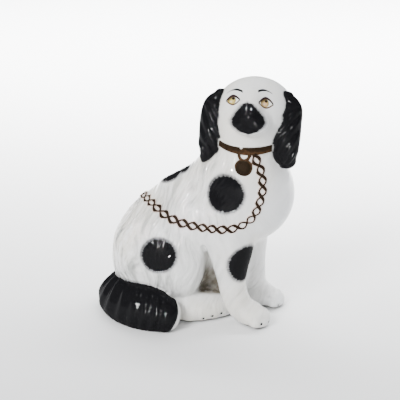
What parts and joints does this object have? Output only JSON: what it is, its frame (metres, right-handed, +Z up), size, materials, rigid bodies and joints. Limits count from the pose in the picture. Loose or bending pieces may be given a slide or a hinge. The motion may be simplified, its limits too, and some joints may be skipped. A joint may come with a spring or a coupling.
{
  "type": "seated spaniel figurine",
  "caption": "Seated mantel spaniel in glazed earthenware, head turned to the front, with long ears, a swept tail, and a collar, locket and chain in relief.",
  "frame": {"origin": "on the floor, under the middle of the figure's bounding box", "axes": "+Z up, +X from the tail towards the dog's chest, the face and the display side look along -Y"},
  "size_m": [0.206, 0.116, 0.2459],
  "materials": {
    "white_glaze": "glossy clear glaze over white earthenware, with black enamel patches and brown gilding"
  },
  "bodies": {
    "root": {"spaniel": "white_glaze"}
  },
  "joints": []
}
